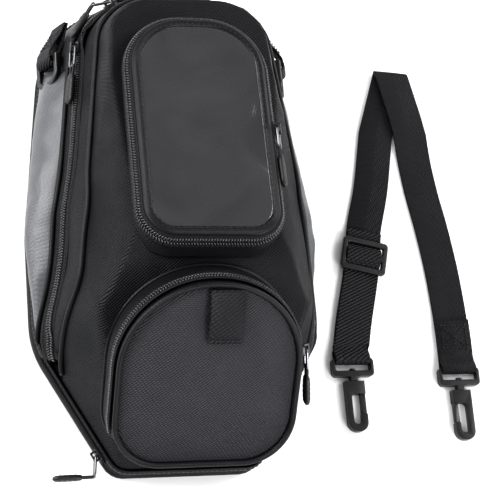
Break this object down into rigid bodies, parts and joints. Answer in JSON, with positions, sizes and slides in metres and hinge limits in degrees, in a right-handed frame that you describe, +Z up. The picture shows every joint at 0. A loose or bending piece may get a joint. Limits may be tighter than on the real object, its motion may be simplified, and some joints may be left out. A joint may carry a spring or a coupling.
{
  "type": "motorcycle tank bag",
  "caption": "Soft tapered tank bag with magnetic base, zipped lifting cover, clear-window phone pocket, round front pocket, rear handle, D-rings and a detached shoulder strap.",
  "frame": {"origin": "centre of the base's underside, on the surface the bag stands on", "axes": "+Z up, +Y toward the carrying handle at the rear, +X to the bag's right seen from behind the tapered nose, where the detached strap lies"},
  "size_m": [0.316, 0.3338, 0.1326],
  "materials": {
    "base_rubber": "matt non-slip",
    "foam": "closed-cell foam",
    "magnet": "plated",
    "board": "matt",
    "base_fabric": "coarse weave",
    "side_fabric": "fine twill with a coated sheen",
    "cover_fabric": "ballistic weave",
    "lining": "smooth",
    "zip_tape": "zip chain and tape",
    "piping": "satin",
    "webbing": "ribbed webbing",
    "film": "clear soft film",
    "hardware": "moulded, satin gloss",
    "ring_metal": "black, satin",
    "slider_metal": "black, satin",
    "wire": "gunmetal",
    "pull_rubber": "matt"
  },
  "bodies": {
    "bag": {"base_skin": "base_rubber", "base_pad": "foam", "magnet_1": "magnet", "magnet_2": "magnet", "magnet_3": "magnet", "magnet_4": "magnet", "base_board": "board", "base_wall": "base_fabric", "door_sill": "base_fabric", "door_header": "base_fabric", "floor_panel": "board", "tub_wall": "lining", "side_panel_left": "side_fabric", "side_panel_right": "side_fabric", "rear_panel": "cover_fabric", "tub_gusset": "base_fabric", "tub_zip_tape": "zip_tape", "tub_piping": "piping", "handle": "webbing", "d_ring_tab_left": "webbing", "d_ring_tab_right": "webbing"},
    "cover": {"cover_shell": "cover_fabric", "cover_lining": "lining", "cover_zip_tape": "zip_tape", "cover_piping": "piping", "phone_pocket_gusset": "cover_fabric", "phone_pocket_back": "lining", "round_pocket_gusset": "cover_fabric"},
    "window": {"window_frame": "piping", "window_film": "film"},
    "round_lid": {"round_panel_piping": "piping", "round_panel": "cover_fabric", "light_loop": "webbing"},
    "base_door": {"base_flap": "base_fabric"},
    "ring_left": {"d_ring_left": "ring_metal"},
    "ring_right": {"d_ring_right": "ring_metal"},
    "strap": {"strap_webbing": "webbing", "hook_eye_left": "hardware", "hook_eye_right": "hardware"},
    "glide": {"tri_glide": "hardware"},
    "snap_left": {"hook_left": "hardware"},
    "snap_right": {"hook_right": "hardware"},
    "latch_left": {"gate_left": "hardware"},
    "latch_right": {"gate_right": "hardware"},
    "main_left_zip": {"main_left_slider": "slider_metal"},
    "main_left_pull": {"main_left_bail": "wire", "main_left_tab": "pull_rubber"},
    "main_right_zip": {"main_right_slider": "slider_metal"},
    "main_right_pull": {"main_right_bail": "wire", "main_right_tab": "pull_rubber"},
    "window_zip": {"window_slider": "slider_metal"},
    "window_pull": {"window_bail": "wire", "window_tab": "pull_rubber"},
    "round_zip": {"round_slider": "slider_metal"},
    "round_pull": {"round_bail": "wire", "round_tab": "pull_rubber"},
    "base_zip": {"base_slider": "slider_metal"},
    "base_pull": {"base_bail": "wire", "base_tab": "pull_rubber"}
  },
  "joints": [
    {"name": "cover_hinge", "type": "hinge", "parent": "bag", "child": "cover", "pos_m": [0, -0.158, 0.022], "axis": [1, 0, 0], "range_deg": [0, 95]},
    {"name": "window_hinge", "type": "hinge", "parent": "cover", "child": "window", "pos_m": [0, -0.03443, 0.13058], "axis": [1, 0, 0], "range_deg": [0, 110]},
    {"name": "round_lid_hinge", "type": "hinge", "parent": "cover", "child": "round_lid", "pos_m": [0, -0.16052, 0.05161], "axis": [1, 0, 0], "range_deg": [0, 115]},
    {"name": "base_door_hinge", "type": "hinge", "parent": "bag", "child": "base_door", "pos_m": [-0.071, -0.115, 0.018], "axis": [-0.4874, 0.8732, 0], "range_deg": [0, 75]},
    {"name": "main_left_zip_run", "type": "slide", "parent": "cover", "child": "main_left_zip", "axis": [-0.1125, -0.9937, 0], "range_m": [0, 0.075]},
    {"name": "main_right_zip_run", "type": "hinge", "parent": "cover", "child": "main_right_zip", "pos_m": [-0.02341, 0.104, 0.071], "axis": [0, 0, -1], "range_deg": [0, 22]},
    {"name": "window_zip_run", "type": "slide", "parent": "window", "child": "window_zip", "axis": [0, -0.9974, 0.0715], "range_m": [-0.02, 0.045]},
    {"name": "round_zip_run", "type": "hinge", "parent": "round_lid", "child": "round_zip", "pos_m": [0, -0.10389, 0.08792], "axis": [0, -0.6247, 0.7809], "range_deg": [0, 164]},
    {"name": "base_zip_run", "type": "slide", "parent": "base_door", "child": "base_zip", "axis": [-0.4874, 0.8732, 0], "range_m": [0, 0.064]},
    {"name": "main_left_pull_swing", "type": "hinge", "parent": "main_left_zip", "child": "main_left_pull", "pos_m": [-0.06935, 0.11255, 0.07198], "axis": [-0.3398, 0.0385, -0.9397], "range_deg": [0, 150]},
    {"name": "main_right_pull_swing", "type": "hinge", "parent": "main_right_zip", "child": "main_right_pull", "pos_m": [-0.04309, 0.14617, 0.07298], "axis": [-0.0827, 0.3319, -0.9397], "range_deg": [0, 150]},
    {"name": "window_pull_swing", "type": "hinge", "parent": "window_zip", "child": "window_pull", "pos_m": [0.04856, 0.03863, 0.12187], "axis": [-0.4763, 0.0629, 0.877], "range_deg": [0, 150]},
    {"name": "round_pull_swing", "type": "hinge", "parent": "round_zip", "child": "round_pull", "pos_m": [0.06272, -0.09701, 0.09342], "axis": [0, -0.6247, 0.7809], "range_deg": [0, 150]},
    {"name": "base_pull_swing", "type": "hinge", "parent": "base_zip", "child": "base_pull", "pos_m": [-0.05876, -0.14596, 0.0141], "axis": [0, 0, -1], "range_deg": [0, 75]},
    {"name": "ring_left_swing", "type": "hinge", "parent": "bag", "child": "ring_left", "pos_m": [-0.0805, 0.116, 0.041], "axis": [-0.342, 0, -0.9397], "range_deg": [0, 95]},
    {"name": "ring_right_swing", "type": "hinge", "parent": "bag", "child": "ring_right", "pos_m": [0.0805, 0.116, 0.041], "axis": [-0.342, 0, 0.9397], "range_deg": [0, 95]},
    {"name": "strap_lift", "type": "slide", "parent": "bag", "child": "strap", "axis": [0, 0, 1], "range_m": [0, 0.15]},
    {"name": "glide_run", "type": "slide", "parent": "strap", "child": "glide", "axis": [0.2282, 0.9736, 0], "range_m": [-0.04, 0.02]},
    {"name": "snap_left_swivel", "type": "hinge", "parent": "strap", "child": "snap_left", "pos_m": [0.126, -0.0978, 0.0025], "axis": [0, -1, 0], "continuous": true},
    {"name": "latch_left_spring", "type": "hinge", "parent": "snap_left", "child": "latch_left", "pos_m": [0.1311, -0.105, 0.0025], "axis": [0, 0, -1], "range_deg": [0, 18], "stiffness_Nm_per_rad": 0.02, "springref_deg": -20.05},
    {"name": "snap_right_swivel", "type": "hinge", "parent": "strap", "child": "snap_right", "pos_m": [0.204, -0.1058, 0.0025], "axis": [0, -1, 0], "continuous": true},
    {"name": "latch_right_spring", "type": "hinge", "parent": "snap_right", "child": "latch_right", "pos_m": [0.1989, -0.113, 0.0025], "axis": [0, 0, 1], "range_deg": [0, 18], "stiffness_Nm_per_rad": 0.02, "springref_deg": -20.05}
  ]
}
